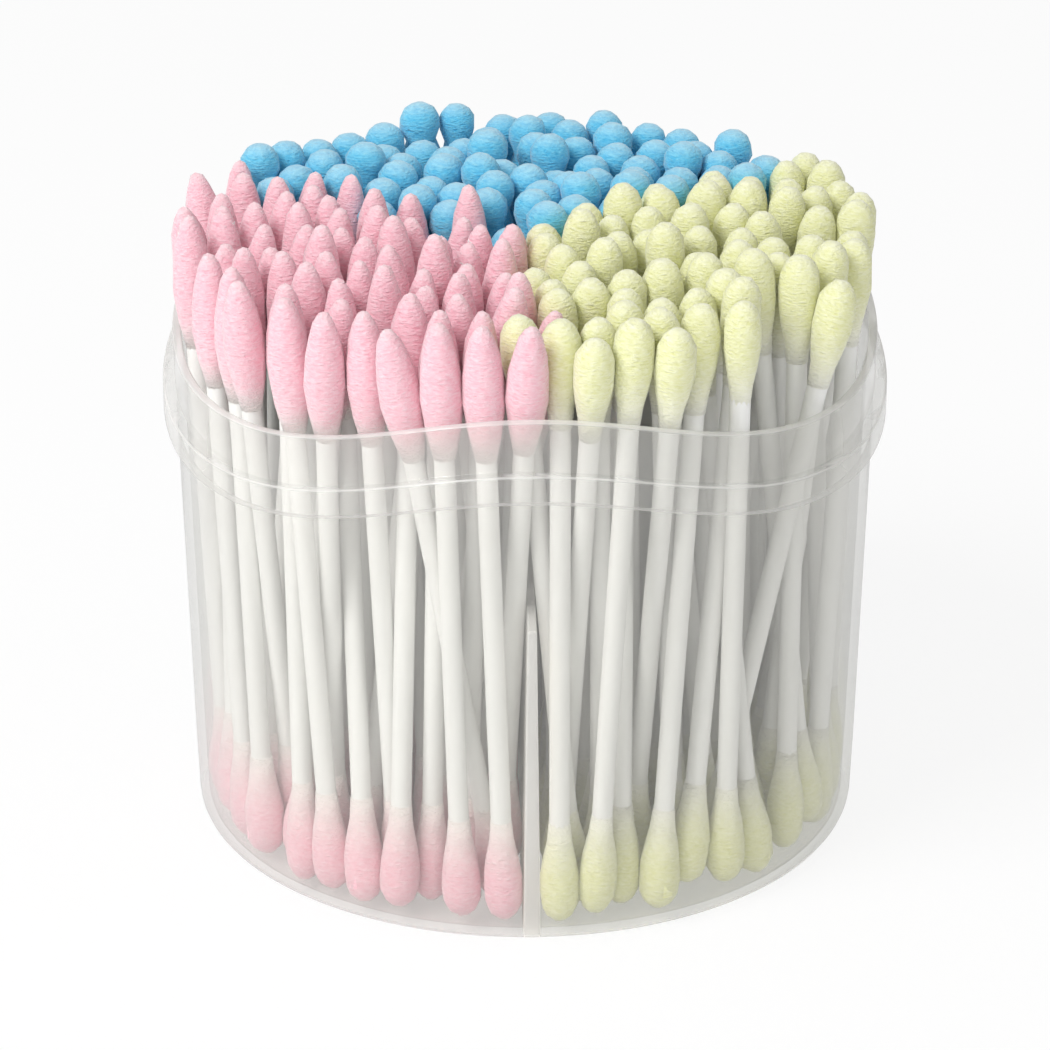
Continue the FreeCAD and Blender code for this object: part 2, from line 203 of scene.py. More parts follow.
ledge = RIM_HEIGHT - NECK_HEIGHT
bead_foot = ledge - FLANGE_HEIGHT
bead_radius = RIM_RADIUS + FLANGE_REACH
rim_out = wall_radius(RIM_HEIGHT)
rim_in = rim_out - WALL
floor_in = wall_radius(FLOOR_TOP) - WALL
inner_corner = CORNER - WALL

section = [(0.0, RIB_HEIGHT)]
section += arc(wall_radius(RIB_HEIGHT) - CORNER, RIB_HEIGHT + CORNER, CORNER, -90, 0, 6)
section += [(wall_radius(height), height) for height in SIDE_HEIGHTS]
section += arc(wall_radius(bead_foot) + BEAD_FOOT_FILLET, bead_foot - BEAD_FOOT_FILLET,
               BEAD_FOOT_FILLET, 180, 90, 3)
section += arc(bead_radius - EDGE, bead_foot + EDGE, EDGE, -90, 0, 3)
section += arc(bead_radius - EDGE, ledge - EDGE, EDGE, 0, 90, 3)
section += arc(wall_radius(ledge) + BEAD_TOP_FILLET, ledge + BEAD_TOP_FILLET,
               BEAD_TOP_FILLET, -90, -180, 3)
section += arc(rim_out - EDGE, RIM_HEIGHT - EDGE, EDGE, 0, 90, 3)
section += arc(rim_in + EDGE, RIM_HEIGHT - EDGE, EDGE, 90, 180, 3)
section += [(wall_radius(ledge) - WALL, ledge), (wall_radius(bead_foot) - WALL, bead_foot)]
section += [(wall_radius(height) - WALL, height) for height in reversed(SIDE_HEIGHTS)]
section += arc(floor_in - inner_corner, FLOOR_TOP + inner_corner, inner_corner, 0, -90, 4)
section += [(0.0, FLOOR_TOP)]
print("section has", len(section), "points")

# %% [markdown]
# The shell is one circle of vertices that is extruded up and resized once for each point of the
# section, as one would do by hand. A screw or spin would give the same surface, but this way the
# rings close at once and no seam has to be merged. The two open rings in the middle, under and
# over the floor, are then drawn together to a point.

# %% Turn the section into the tub's shell
def turned_shell(name, points, steps):
    """Extrudes a ring of vertices through each section point, from the axis out and back."""
    bpy.ops.object.select_all(action="DESELECT")
    first_radius, first_height = points[1]
    bpy.ops.mesh.primitive_circle_add(vertices=steps, radius=first_radius, fill_type="NOTHING",
                                      location=(0, 0, first_height))
    shell = bpy.context.object
    shell.name = name
    bpy.ops.object.transform_apply(location=True)
    bpy.ops.object.mode_set(mode="EDIT")
    bpy.ops.mesh.select_all(action="SELECT")
    radius, height = first_radius, first_height
    for next_radius, next_height in points[2:-1]:
        bpy.ops.mesh.extrude_region_move(
            TRANSFORM_OT_translate={"value": (0, 0, next_height - height)})
        share = next_radius / radius
        bpy.ops.transform.resize(value=(share, share, 1), center_override=(0, 0, next_height))
        radius, height = next_radius, next_height
    bpy.ops.object.mode_set(mode="OBJECT")
    return shell


def close_pole(shell, radius, height):
    """Draws the ring at this radius and height together to a point on the axis."""
    mesh = shell.data
    bpy.ops.object.mode_set(mode="EDIT")
    bpy.ops.mesh.select_mode(type="VERT")
    bpy.ops.mesh.select_all(action="DESELECT")
    bpy.ops.object.mode_set(mode="OBJECT")
    for vertex in mesh.vertices:
        near_ring = abs(math.hypot(vertex.co.x, vertex.co.y) - radius) < SAME_PLACE
        vertex.select = near_ring and abs(vertex.co.z - height) < SAME_PLACE
    bpy.ops.object.mode_set(mode="EDIT")
    bpy.ops.mesh.extrude_region_move()
    bpy.ops.mesh.merge(type="CENTER")
    bpy.ops.object.mode_set(mode="OBJECT")


tub = turned_shell("tub_shell", section, AROUND)
close_pole(tub, *section[1])
close_pole(tub, *section[-2])
print("tub shell:", len(tub.data.polygons), "faces")

# %% [markdown]
# Thin polypropylene is nearly clear and thick polypropylene is milky. How much it scatters is
# worked out for each vertex from its place in the section and kept as an attribute, which the
# material reads later. On the rim's top edge and the bead's top corner the value is raised to a
# painted highlight, a white line where the lamps would glint. The neck is then lifted into its
# three waves: every vertex above the middle of the wall moves up or down with the rim, and out or
# in a little to stay on the wall's draft.

# %% Cloudiness, a painted edge highlight and the waves of the rim
CLOUD_WALL = 0.07
CLOUD_NECK = 0.17
CLOUD_CORNER = 0.36
# The edge value is a painted highlight: a white line along the rim's top edge and the bead's top
# corner.
EDGE_PAINTED_HIGHLIGHT = 0.6
CORNER_CLOUD_HEIGHT = 4 * MM
PAINTED_HIGHLIGHT_DEPTH = 0.9 * EDGE
NECK_CLOUD_FROM = bead_foot - 0.1 * MM
SHELL_SMOOTH_ANGLE = math.radians(40)
WAVES_FROM = SIDE_HEIGHTS[-1]
WAVES_FULL = bead_foot - 0.5 * MM


def cloudiness_and_highlight(radius, height):
    """Share of light the plastic scatters at a section point, before lifting; edges get a painted
    highlight.
    """
    # Painted highlight: the rim's top edge and the bead's top corner get a white veil where the
    # lamps would glint.
    if height > RIM_HEIGHT - PAINTED_HIGHLIGHT_DEPTH:
        return EDGE_PAINTED_HIGHLIGHT
    if radius > bead_radius - EDGE and height > ledge - EDGE:
        return EDGE_PAINTED_HIGHLIGHT
    if height > NECK_CLOUD_FROM:
        return CLOUD_NECK
    nearness = max(0.0, 1 - height / CORNER_CLOUD_HEIGHT)
    return CLOUD_WALL + (CLOUD_CORNER - CLOUD_WALL) * nearness ** 2


cloud_and_highlight = tub.data.attributes.new("cloudiness_and_highlight", "FLOAT", "POINT")
for vertex in tub.data.vertices:
    radius = math.hypot(vertex.co.x, vertex.co.y)
    cloud_and_highlight.data[vertex.index].value = cloudiness_and_highlight(radius, vertex.co.z)
for vertex in tub.data.vertices:
    spot = vertex.co
    free = (spot.z - WAVES_FROM) / (WAVES_FULL - WAVES_FROM)
    lift = rim_rise(math.atan2(spot.y, spot.x)) * min(1.0, max(0.0, free))
    spread = 1 + DRAFT * lift / max(math.hypot(spot.x, spot.y), MM)
    vertex.co = (spot.x * spread, spot.y * spread, spot.z + lift)

select_only(tub)
bpy.ops.object.mode_set(mode="EDIT")
bpy.ops.mesh.select_all(action="SELECT")
bpy.ops.mesh.normals_make_consistent(inside=False)
bpy.ops.object.mode_set(mode="OBJECT")
bpy.ops.object.shade_smooth_by_angle(angle=SHELL_SMOOTH_ANGLE)
print("tub shell stands", round(tub.dimensions.z / MM, 1), "mm from its underside to its crests")

# %% [markdown]
# Three partitions meet at the tub's middle. Each is a plate that is thicker at its foot than at
# its crest, the draft that lets the moulding leave its tool. A plate starts as a cube whose eight
# corners are moved to the plate's, and a bevel rounds its edges. Three low ribs under the floor,
# in line with the plates, keep the tub from rocking.

# %% Partitions
CREST_BEVEL = 0.3 * MM
PLATE_SMOOTH_ANGLE = math.radians(30)
CLOUD_PARTITION = 0.25
CLOUD_PARTITION_END = 0.75
PARTITION_END_FROM = 0.9 * RIB_REACH


def partition_plate(turn):
    """One plate from the middle into the wall, tapered upwards, with rounded edges."""
    bpy.ops.object.select_all(action="DESELECT")
    bpy.ops.mesh.primitive_cube_add(size=1, location=(0, 0, 0))
    plate = bpy.context.object
    reach = wall_radius(0) - 0.5 * WALL
    sink = 0.5 * (RIB_HEIGHT + FLOOR_TOP)
    for vertex in plate.data.vertices:
        high = vertex.co.z > 0
        thick = PARTITION_CREST if high else PARTITION_FOOT
        far = reach + (DRAFT * PARTITION_HEIGHT if high else 0)
        vertex.co = (thick / 2 * (1 if vertex.co.x > 0 else -1),
                     -far if vertex.co.y < 0 else 0.0,
                     PARTITION_HEIGHT if high else sink)
    bevel = plate.modifiers.new("crest", "BEVEL")
    bevel.width = CREST_BEVEL
    bevel.segments = 3
    bevel.limit_method = "ANGLE"
    bpy.ops.object.modifier_apply(modifier="crest")
    plate.data.transform(Matrix.Rotation(turn, 4, "Z"))
    return plate


def standing_rib(turn):
    """One low rib under the floor, from the middle outwards; the tub stands on three of them."""
    bpy.ops.object.select_all(action="DESELECT")
    bpy.ops.mesh.primitive_cube_add(size=1, location=(0, 0, 0))
    rib = bpy.context.object
    top = 0.5 * (RIB_HEIGHT + FLOOR_TOP)
    for vertex in rib.data.vertices:
        vertex.co = (PARTITION_FOOT * vertex.co.x, -RIB_REACH * (0.5 - vertex.co.y),
                     top * (0.5 + vertex.co.z))
    rib.data.transform(Matrix.Rotation(turn, 4, "Z"))
    return rib


turns = [math.radians(turn) for turn in (0, 120, 240)]
plates = [partition_plate(turn) for turn in turns] + [standing_rib(turn) for turn in turns]
select_only(*plates)
bpy.ops.object.join()
partitions = bpy.context.object
partitions.name = "tub_partitions"
cloud_and_highlight = partitions.data.attributes.new("cloudiness_and_highlight", "FLOAT", "POINT")
for vertex in partitions.data.vertices:
    outer = math.hypot(vertex.co.x, vertex.co.y) > PARTITION_END_FROM
    cloud_and_highlight.data[vertex.index].value = CLOUD_PARTITION_END if outer else CLOUD_PARTITION
bpy.ops.object.shade_smooth_by_angle(angle=PLATE_SMOOTH_ANGLE)
print("partitions:", len(partitions.data.polygons), "faces")

# %% [markdown]
# The plastic is polypropylene, which is clear but never quite glass-clear: light scatters a little
# inside it, so what stands behind the wall looks a shade paler and edges glow white. A wall this
# thin hardly bends light, so most light goes straight through, a share is scattered as a milky
# veil, and the surface adds gloss. The veil is stronger where the plastic is thick, at the neck,
# the bead and the bottom corner, and strongest on the rim's top edge and the bead's top corner,
# where it is a painted highlight; all this is stored on the vertices. It is also stronger where
# the plastic is seen edge-on. Shadow rays go almost straight through, because a glass-like shadow
# would be too dark.

# %% Clear polypropylene
CLEAR_TINT = "#FBFBFA"
MILK_TINT = "#FBFAF8"
SHADOW_TINT = "#FCFBFA"
MILK_GLOW = 0.4
VEIL_EDGE_ON = 0.28
VEIL_STEEPNESS = 2.5
MIRROR_SQUARE_ON = 0.035
MIRROR_STEEPNESS = 5.0
GLOSS_ROUGHNESS = 0.12


def make_polypropylene(name, gloss):
    """Clear plastic with a milky veil; gloss is the mirror share added at grazing angles."""
    material = new_material(name)
    math_node, mix = "ShaderNodeMath", "ShaderNodeMixShader"
    clear = add_node(material, "ShaderNodeBsdfTransparent", {"Color": linear(CLEAR_TINT)})
    veil = add_node(material, "ShaderNodeBsdfDiffuse", {"Color": linear(MILK_TINT)})
    glow = add_node(material, "ShaderNodeBsdfTranslucent", {"Color": linear(MILK_TINT)})
    milk = add_node(material, mix, {"Fac": MILK_GLOW}, i1=veil.outputs[0], i2=glow.outputs[0])
    edge_on = add_node(material, "ShaderNodeLayerWeight", {"Blend": 0.5})
    steep = add_node(material, math_node, {"operation": "POWER", "i1": VEIL_STEEPNESS},
                     i0=edge_on.outputs["Facing"])
    cloud_and_highlight = add_node(material, "ShaderNodeAttribute", {"attribute_name": "cloudiness_and_highlight"})
    amount = add_node(material, math_node, {"operation": "MULTIPLY_ADD", "i1": VEIL_EDGE_ON},
                      i0=steep.outputs[0], i2=cloud_and_highlight.outputs["Fac"])
    body = add_node(material, mix,
                    i0=amount.outputs[0], i1=clear.outputs[0], i2=milk.outputs[0])
    polish = add_node(material, "ShaderNodeBsdfGlossy", {"Roughness": GLOSS_ROUGHNESS})
    grazing = add_node(material, math_node, {"operation": "POWER", "i1": MIRROR_STEEPNESS},
                       i0=edge_on.outputs["Facing"])
    mirror = add_node(material, math_node,
                      {"operation": "MULTIPLY_ADD", "i1": gloss, "i2": MIRROR_SQUARE_ON},
                      i0=grazing.outputs[0])
    surface = add_node(material, mix,
                       i0=mirror.outputs[0], i1=body.outputs[0], i2=polish.outputs[0])
    open_way = add_node(material, "ShaderNodeBsdfTransparent", {"Color": linear(SHADOW_TINT)})
    ray = add_node(material, "ShaderNodeLightPath")
    lit = add_node(material, mix, i0=ray.outputs["Is Shadow Ray"],
                   i1=surface.outputs[0], i2=open_way.outputs[0])
    add_node(material, "ShaderNodeOutputMaterial", Surface=lit.outputs[0])
    return material


WALL_GLOSS = 0.6
PARTITION_GLOSS = 0.03
plastics = {
    tub: make_polypropylene("polypropylene_clear_wall", WALL_GLOSS),
    partitions: make_polypropylene("polypropylene_clear_partition", PARTITION_GLOSS),
}
for piece, plastic in plastics.items():
    piece.data.materials.clear()
    piece.data.materials.append(plastic)
    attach(piece, "root")
    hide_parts("tub")
    print(piece.name, "is", plastic.name)

# %% [markdown]
# ## Swabs
#
# Each swab's stick is already in the frame, so the stick keeps its solid and gets a paper finish.
# The axis of each stick is read from the loose parts of that node, and the soft tips are set on
# the same axes. A node's mesh is loose triangles, so a copy of it is merged and taken apart, the
# ends of each part are measured, and the copy is thrown away.

# %% Read the axis of every stick
def stick_axes(node):
    """(foot, head) of each stick in a node: the middles of its two ends, lower end first."""
    copy = node.copy()
    copy.data = node.data.copy()
    bpy.context.scene.collection.objects.link(copy)
    select_only(copy)
    bpy.ops.object.mode_set(mode="EDIT")
    bpy.ops.mesh.select_all(action="SELECT")
    bpy.ops.mesh.remove_doubles(threshold=SAME_PLACE)
    bpy.ops.mesh.separate(type="LOOSE")
    bpy.ops.object.mode_set(mode="OBJECT")
    found = []
    parts = list(bpy.context.selected_objects)
    for part in parts:
        points = [vertex.co.copy() for vertex in part.data.vertices]
        heights = sorted(point.z for point in points)
        middle = (heights[0] + heights[-1]) / 2
        low = [point for point in points if point.z < middle]
        high = [point for point in points if point.z >= middle]
        foot = sum(low, Vector()) / len(low)
        head = sum(high, Vector()) / len(high)
        along = (head - foot).normalized()
        reach = [(point - foot).dot(along) for point in points]
        found.append((foot + along * min(reach), foot + along * max(reach)))
    for part in parts:
        mesh = part.data
        bpy.data.objects.remove(part)
        bpy.data.meshes.remove(mesh)
    found.sort(key=lambda pair: (round(pair[0].x, 6), round(pair[0].y, 6)))
    return found


COLOURS = ("pink", "yellow", "blue")
axes = {colour: stick_axes(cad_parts[f"{colour}_sticks"]) for colour in COLOURS}
print("sticks:", {colour: len(found) for colour, found in axes.items()})

# %% [markdown]
# ## Cotton tips
#
# A tip is a band of carded cotton wound on the turning stick, so it is round with slightly uneven
# sides, soft and matte. Four forms are used: the pointed tip, the drop, the plain bud and the
# gourd. Each is extruded ring by ring from the stick out to its end, with few faces because over
# four hundred copies follow, and smooth shading. Its own coordinates are kept as an attribute, so
# that the winding follows each tip however it leans.

# %% Tip outlines
STICK_RADIUS = 1.2 * MM
TIP_COVER = 2.0 * MM
NECK_RADIUS = STICK_RADIUS + 0.06 * MM
TIP_SIDES = 12
WAIST_SPREAD = 0.09


class TipForm:
    """Outline of a tip, from its outer end: nose, belly, waist and tail.

    Length, radius and the waist's depth are in mm; nose, belly_end, fade_from and waist_at are
    shares of the length. Fullness 2 makes a round nose and less makes a pointed one.
    """

    def __init__(self, length, radius, nose, belly_end, fullness, fade_from, waist_at=0.0,
                 waist_depth=0.0, rings=7):
        self.length = length * MM
        self.radius = radius * MM
        self.nose = nose * self.length
        self.belly_end = belly_end * self.length
        self.fullness = fullness
        self.fade_from = fade_from
        self.waist_at = waist_at * self.length
        self.waist_depth = waist_depth * MM
        self.rings = rings

    def radius_at(self, along):
        """Radius at a distance from the outer end."""
        if along < self.nose:
            radius = self.radius * (1 - (1 - along / self.nose) ** self.fullness) ** 0.5
        elif along <= self.belly_end:
            radius = self.radius
        else:
            share = min(1.0, (along - self.belly_end) / (self.length - self.belly_end))
            swell = (self.radius - NECK_RADIUS) * (1 + math.cos(math.pi * share)) / 2
            radius = NECK_RADIUS + swell
        if self.waist_depth:
            spread = WAIST_SPREAD * self.length
            radius -= self.waist_depth * math.exp(-((along - self.waist_at) / spread) ** 2)
        return radius


# Each radius is a little over its solid's, because soft cotton presses against its neighbours.
FORMS = {
    "pointed": TipForm(16.5, 2.45, 0.54, 0.62, 1.75, 0.74),
    "drop": TipForm(13.0, 2.35, 0.27, 0.32, 2.1, 0.45, rings=8),
    "bud": TipForm(13.0, 2.35, 0.29, 0.38, 2.2, 0.5, rings=8),
    "gourd": TipForm(13.5, 2.5, 0.19, 0.66, 2.1, 0.75, 0.37, 0.7, rings=9),
}
print("tip lengths in mm:", {name: round(form.length / MM, 1) for name, form in FORMS.items()})

# %% [markdown]
# Only four tips are modelled, one of each form, and copied. A master starts as a disc at the
# neck. Its edge is extruded and resized ring by ring towards the outer end, where the last ring is
# merged to a point. The rings lie closer together at the outer end, because that is where the
# outline curves most.

# %% One master of each form
def master_tip(name, form):
    """A closed tip along +Z with its outer end at the origin."""
    heights = [form.length * (1 - math.cos(0.5 * math.pi * step / form.rings))
               for step in range(form.rings, 0, -1)]
    bpy.ops.object.select_all(action="DESELECT")
    radius = form.radius_at(heights[0])
    bpy.ops.mesh.primitive_circle_add(vertices=TIP_SIDES, radius=radius, fill_type="NGON",
                                      location=(0, 0, heights[0]))
    tip = bpy.context.object
    tip.name = name
    bpy.ops.object.transform_apply(location=True)
    bpy.ops.object.mode_set(mode="EDIT")
    bpy.ops.mesh.select_mode(type="EDGE")
    bpy.ops.mesh.select_all(action="SELECT")
    bpy.ops.mesh.region_to_loop()
    height = heights[0]
    for next_height in heights[1:] + [0.0]:
        bpy.ops.mesh.extrude_region_move(
            TRANSFORM_OT_translate={"value": (0, 0, next_height - height)})
        if next_height == 0.0:
            bpy.ops.mesh.merge(type="CENTER")
            break
        next_radius = form.radius_at(next_height)
        share = next_radius / radius
        bpy.ops.transform.resize(value=(share, share, 1), center_override=(0, 0, next_height))
        radius, height = next_radius, next_height
    bpy.ops.mesh.select_all(action="SELECT")
    bpy.ops.mesh.normals_make_consistent(inside=False)
    bpy.ops.object.mode_set(mode="OBJECT")
    bpy.ops.object.shade_smooth()
    return tip


masters = {name: master_tip(f"master_{name}", form) for name, form in FORMS.items()}
print("faces in a tip:", {name: len(tip.data.polygons) for name, tip in masters.items()})

# %% [markdown]
# No two wound tips are alike. Before it is placed, each copy gets its own turn, a small change of
# size, a slightly bent nose and uneven sides. The tip's own coordinates, how far along the tip a
# vertex lies, how far the dye has faded there and one number that is different for each tip are
# stored for the material to read. The attributes are all added before any is filled, because
# adding one moves the others.

# %% One tip in its place
SIZE_SPREAD = 0.03
NOSE_BEND = 0.1 * MM
UNEVEN = 0.05 * MM
UNEVEN_TAIL = 0.3
TIP_ATTRIBUTES = {
    "tip_place": "FLOAT_VECTOR",
    "tip_seed": "FLOAT",
    "tip_share": "FLOAT",
    "tip_fade": "FLOAT",
}


def placed_tip(form_name, end, towards, rng):
    """A copy of a master with its outer end at a point and its stick running along a direction."""
    form = FORMS[form_name]
    tip = masters[form_name].copy()
    tip.data = masters[form_name].data.copy()
    bpy.context.scene.collection.objects.link(tip)
    turn = rng.uniform(0, 2 * math.pi)
    girth = 1 + rng.gauss(0, SIZE_SPREAD)
    bend = Vector((rng.gauss(0, NOSE_BEND), rng.gauss(0, NOSE_BEND), 0))
    seed = rng.random()
    for name, kind in TIP_ATTRIBUTES.items():
        tip.data.attributes.new(name, kind, "POINT")
    own, mark, share, fade = [tip.data.attributes[name].data for name in TIP_ATTRIBUTES]
    for vertex in tip.data.vertices:
        along = vertex.co.z / form.length
        own[vertex.index].vector = vertex.co / MM
        mark[vertex.index].value = seed
        share[vertex.index].value = along
        fade[vertex.index].value = max(0.0, (along - form.fade_from) / (1 - form.fade_from))
        nose_share = max(0.0, 1 - along)
        wobble = Vector((rng.gauss(0, UNEVEN), rng.gauss(0, UNEVEN), 0))
        wobble *= (UNEVEN_TAIL + nose_share) * (1 if vertex.co.z > 0 else 0)
        rounded = Vector((vertex.co.x * girth, vertex.co.y * girth, vertex.co.z))
        vertex.co = rounded + bend * nose_share ** 2 + wobble
    lean = Vector((0, 0, 1)).rotation_difference(towards).to_matrix().to_4x4()
    tip.data.transform(Matrix.Translation(end) @ lean @ Matrix.Rotation(turn, 4, "Z"))
    return tip


print("each tip carries", ", ".join(TIP_ATTRIBUTES))

# %% [markdown]
# Cotton is soft, so where a tip meets a partition, the wall or the floor it is pressed flat. Any
# vertex that would lie in the plastic is moved to the nearest place just outside it, which is
# quicker than a simulation and enough for a tenth of a millimetre.

# %% Cotton pressed flat
PRESS_GAP = 0.03 * MM


def inside_tub(radius, height):
    """The nearest place inside the wall and the floor's rounded corner, in the section plane."""
    corner_r, corner_z = floor_in - inner_corner, FLOOR_TOP + inner_corner
    if radius > corner_r and height < corner_z:
        reach = math.hypot(radius - corner_r, height - corner_z)
        shrink = min(1.0, (inner_corner - PRESS_GAP) / reach)
        return corner_r + (radius - corner_r) * shrink, corner_z + (height - corner_z) * shrink
    return (min(radius, wall_radius(height) - WALL - PRESS_GAP),
            max(height, FLOOR_TOP + PRESS_GAP))


def press_flat(group):
    """Moves the cotton out of the partitions, the wall and the floor; returns the longest move."""
    longest = 0.0
    for vertex in group.data.vertices:
        spot = vertex.co
        before = spot.copy()
        for turn in turns:
            outwards = Vector((math.sin(turn), -math.cos(turn), 0))
            sideways = Vector((math.cos(turn), math.sin(turn), 0))
            half = 0.5 * PARTITION_FOOT + PRESS_GAP
            half -= 0.5 * (PARTITION_FOOT - PARTITION_CREST) * spot.z / PARTITION_HEIGHT
            aside = spot.dot(sideways)
            if spot.z < PARTITION_HEIGHT and spot.dot(outwards) > 0 and abs(aside) < half:
                spot += (math.copysign(half, aside) - aside) * sideways
        rim = RIM_HEIGHT + rim_rise(math.atan2(spot.y, spot.x))
        far = math.hypot(spot.x, spot.y)
        if spot.z < rim and far > MM:
            new_far, spot.z = inside_tub(far, spot.z)
            spot.xy *= new_far / far
        longest = max(longest, (spot - before).length)
    return longest


print("cotton stops", round(PRESS_GAP / MM, 2), "mm before the plastic")

# %% [markdown]
# All the tips of one node are joined to one piece, and the masters are removed at the end.

# %% All the tips
def tip_group(name, form_name, upper, pairs, rng):
    """All the tips of one node as one piece."""
    copies = []
    for foot, head in pairs:
        along = (head - foot).normalized()
        if upper:
            copies.append(placed_tip(form_name, head + along * TIP_COVER, -along, rng))
        else:
            copies.append(placed_tip(form_name, foot - along * TIP_COVER, along, rng))
    select_only(*copies)
    bpy.ops.object.join()
    group = bpy.context.object
    group.name = name
    pressed = press_flat(group)
    print(name, len(group.data.polygons), "faces, pressed in by up to",
          round(pressed / MM, 2), "mm")
    return group


SEED = 11
rng = random.Random(SEED)
TIP_CHOICE = {
    "pink": ("pointed", "drop"),
    "yellow": ("bud", "bud"),
    "blue": ("gourd", "bud"),
}
tips = {}
for colour, (upper_form, lower_form) in TIP_CHOICE.items():
    for place, form_name in (("upper", upper_form), ("lower", lower_form)):
        name = f"{colour}_{place}_cotton"
        tips[name] = tip_group(name, form_name, place == "upper", axes[colour], rng)
for master in masters.values():
    bpy.data.objects.remove(master)

# %% [markdown]
# Wound cotton is matte, pale at its fuzzy outline and deeper in colour where tips crowd together,
# because light bounces between them. The fibres run round the tip, a little aslant. Two sets of
# streaks are drawn from the tip's own coordinates, with soft lumps under them. A real fibre is
# about 0.02 mm thick, too fine to show, so the streaks are drawn ten times as coarse. The dye is
# thin at the neck, where the cotton ends, and at the outer end, so the colour fades there.

# %% Wound cotton
STREAK_MM = 0.24
STREAK_STRETCH = 0.3
STREAK_SLANTS = (16, -11)
FUZZ_MM = 0.35
FUZZ_SHARE = 0.6
FIBRE_RELIEF = 0.22 * MM
FIBRE_BUMP = 0.8
STREAK_DEEPEST = 0.5
STREAK_PALEST = 1.45
SEED_STEPS = (37.0, 53.0, 71.0)
NOSE_WHITE = 0.25
NOSE_REACH = 0.1
NECK_WHITE = 0.85
RAW_COTTON = "#F7F6F0"


def make_cotton(name, base, pale):
    """Cotton dyed with a base colour, streaked with a paler one and white towards the neck."""
    material = new_material(name)
    place, seed, along, fade = [
        add_node(material, "ShaderNodeAttribute", {"attribute_name": attribute})
        for attribute in ("tip_place", "tip_seed", "tip_share", "tip_fade")]
    shift = add_node(material, "ShaderNodeVectorMath", {"operation": "SCALE", "i0": SEED_STEPS},
                     Scale=seed.outputs["Fac"])
    own = add_node(material, "ShaderNodeVectorMath", {"operation": "ADD"},
                   i0=place.outputs["Vector"], i1=shift.outputs[0])
    around = STREAK_STRETCH / STREAK_MM
    streaks = []
    for slant in STREAK_SLANTS:
        turned = add_node(material, "ShaderNodeMapping",
                          {"Rotation": (math.radians(slant), math.radians(slant / 2), 0),
                           "Scale": (around, around, 1 / STREAK_MM)},
                          Vector=own.outputs[0])
        streaks.append(add_node(material, "ShaderNodeTexNoise",
                                {"Scale": 1.0, "Detail": 2.0, "Roughness": 0.6},
                                Vector=turned.outputs[0]))
    both = add_node(material, "ShaderNodeMath", {"operation": "ADD"},
                    i0=streaks[0].outputs["Fac"], i1=streaks[1].outputs["Fac"])
    fuzz = add_node(material, "ShaderNodeTexNoise",
                    {"Scale": 1 / FUZZ_MM, "Detail": 1.0, "Roughness": 0.7}, Vector=own.outputs[0])
    relief = add_node(material, "ShaderNodeMath", {"operation": "MULTIPLY_ADD", "i1": FUZZ_SHARE},
                      i0=fuzz.outputs["Fac"], i2=both.outputs[0])
    bump = add_node(material, "ShaderNodeBump",
                    {"Strength": FIBRE_BUMP, "Distance": FIBRE_RELIEF}, Height=relief.outputs[0])
    tone = add_node(material, "ShaderNodeMapRange",
                    {"From Min": STREAK_DEEPEST, "From Max": STREAK_PALEST},
                    Value=both.outputs[0])
    dyed = add_node(material, "ShaderNodeMix",
                    {"data_type": "RGBA", "i6": linear(base), "i7": linear(pale)},
                    i0=tone.outputs[0])
    nose = add_node(material, "ShaderNodeMapRange",
                    {"From Max": NOSE_REACH, "To Min": NOSE_WHITE, "To Max": 0.0},
                    Value=along.outputs["Fac"])
    neck = add_node(material, "ShaderNodeMapRange", {"To Max": NECK_WHITE},
                    Value=fade.outputs["Fac"])
    ends = add_node(material, "ShaderNodeMath", {"operation": "ADD", "use_clamp": True},
                    i0=neck.outputs[0], i1=nose.outputs[0])
    faded = add_node(material, "ShaderNodeMix", {"data_type": "RGBA", "i7": linear(RAW_COTTON)},
                     i0=ends.outputs[0], i6=dyed.outputs[2])
    cotton = add_node(material, "ShaderNodeBsdfPrincipled",
                      {"Roughness": 0.95, "Specular IOR Level": 0.15, "Sheen Weight": 0.5,
                       "Sheen Roughness": 0.5},
                      Base_Color=faded.outputs[2], Normal=bump.outputs[0])
    add_node(material, "ShaderNodeOutputMaterial", Surface=cotton.outputs[0])
    return material


cottons = {
    "pink": make_cotton("cotton_wound_pink", "#F2AABA", "#FCDDE4"),
    "yellow": make_cotton("cotton_wound_pale_yellow", "#DEDF93", "#F7F8DA"),
    "blue": make_cotton("cotton_wound_blue", "#35AFDE", "#8EDDF5"),
}
for name, piece in tips.items():
    colour, place, _ = name.split("_")
    piece.data.materials.clear()
    piece.data.materials.append(cottons[colour])
    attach(piece, "root")
    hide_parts(f"{colour}_{place}_tips")
    print(name, "is", cottons[colour].name)

# %% [markdown]
# The sticks are tightly rolled paper, which gives a white, matte and hard stick with faint streaks
# along it. The sticks are the frame's own, so only the material in their slots changes. It reads
# Object coordinates, stretched ten times along the stick.

# %% Rolled paper
GRAIN_WIDTH = 0.8 * MM
GRAIN_LENGTH = 8 * MM
PAPER_RELIEF = 0.05 * MM
PAPER_BUMP = 0.15


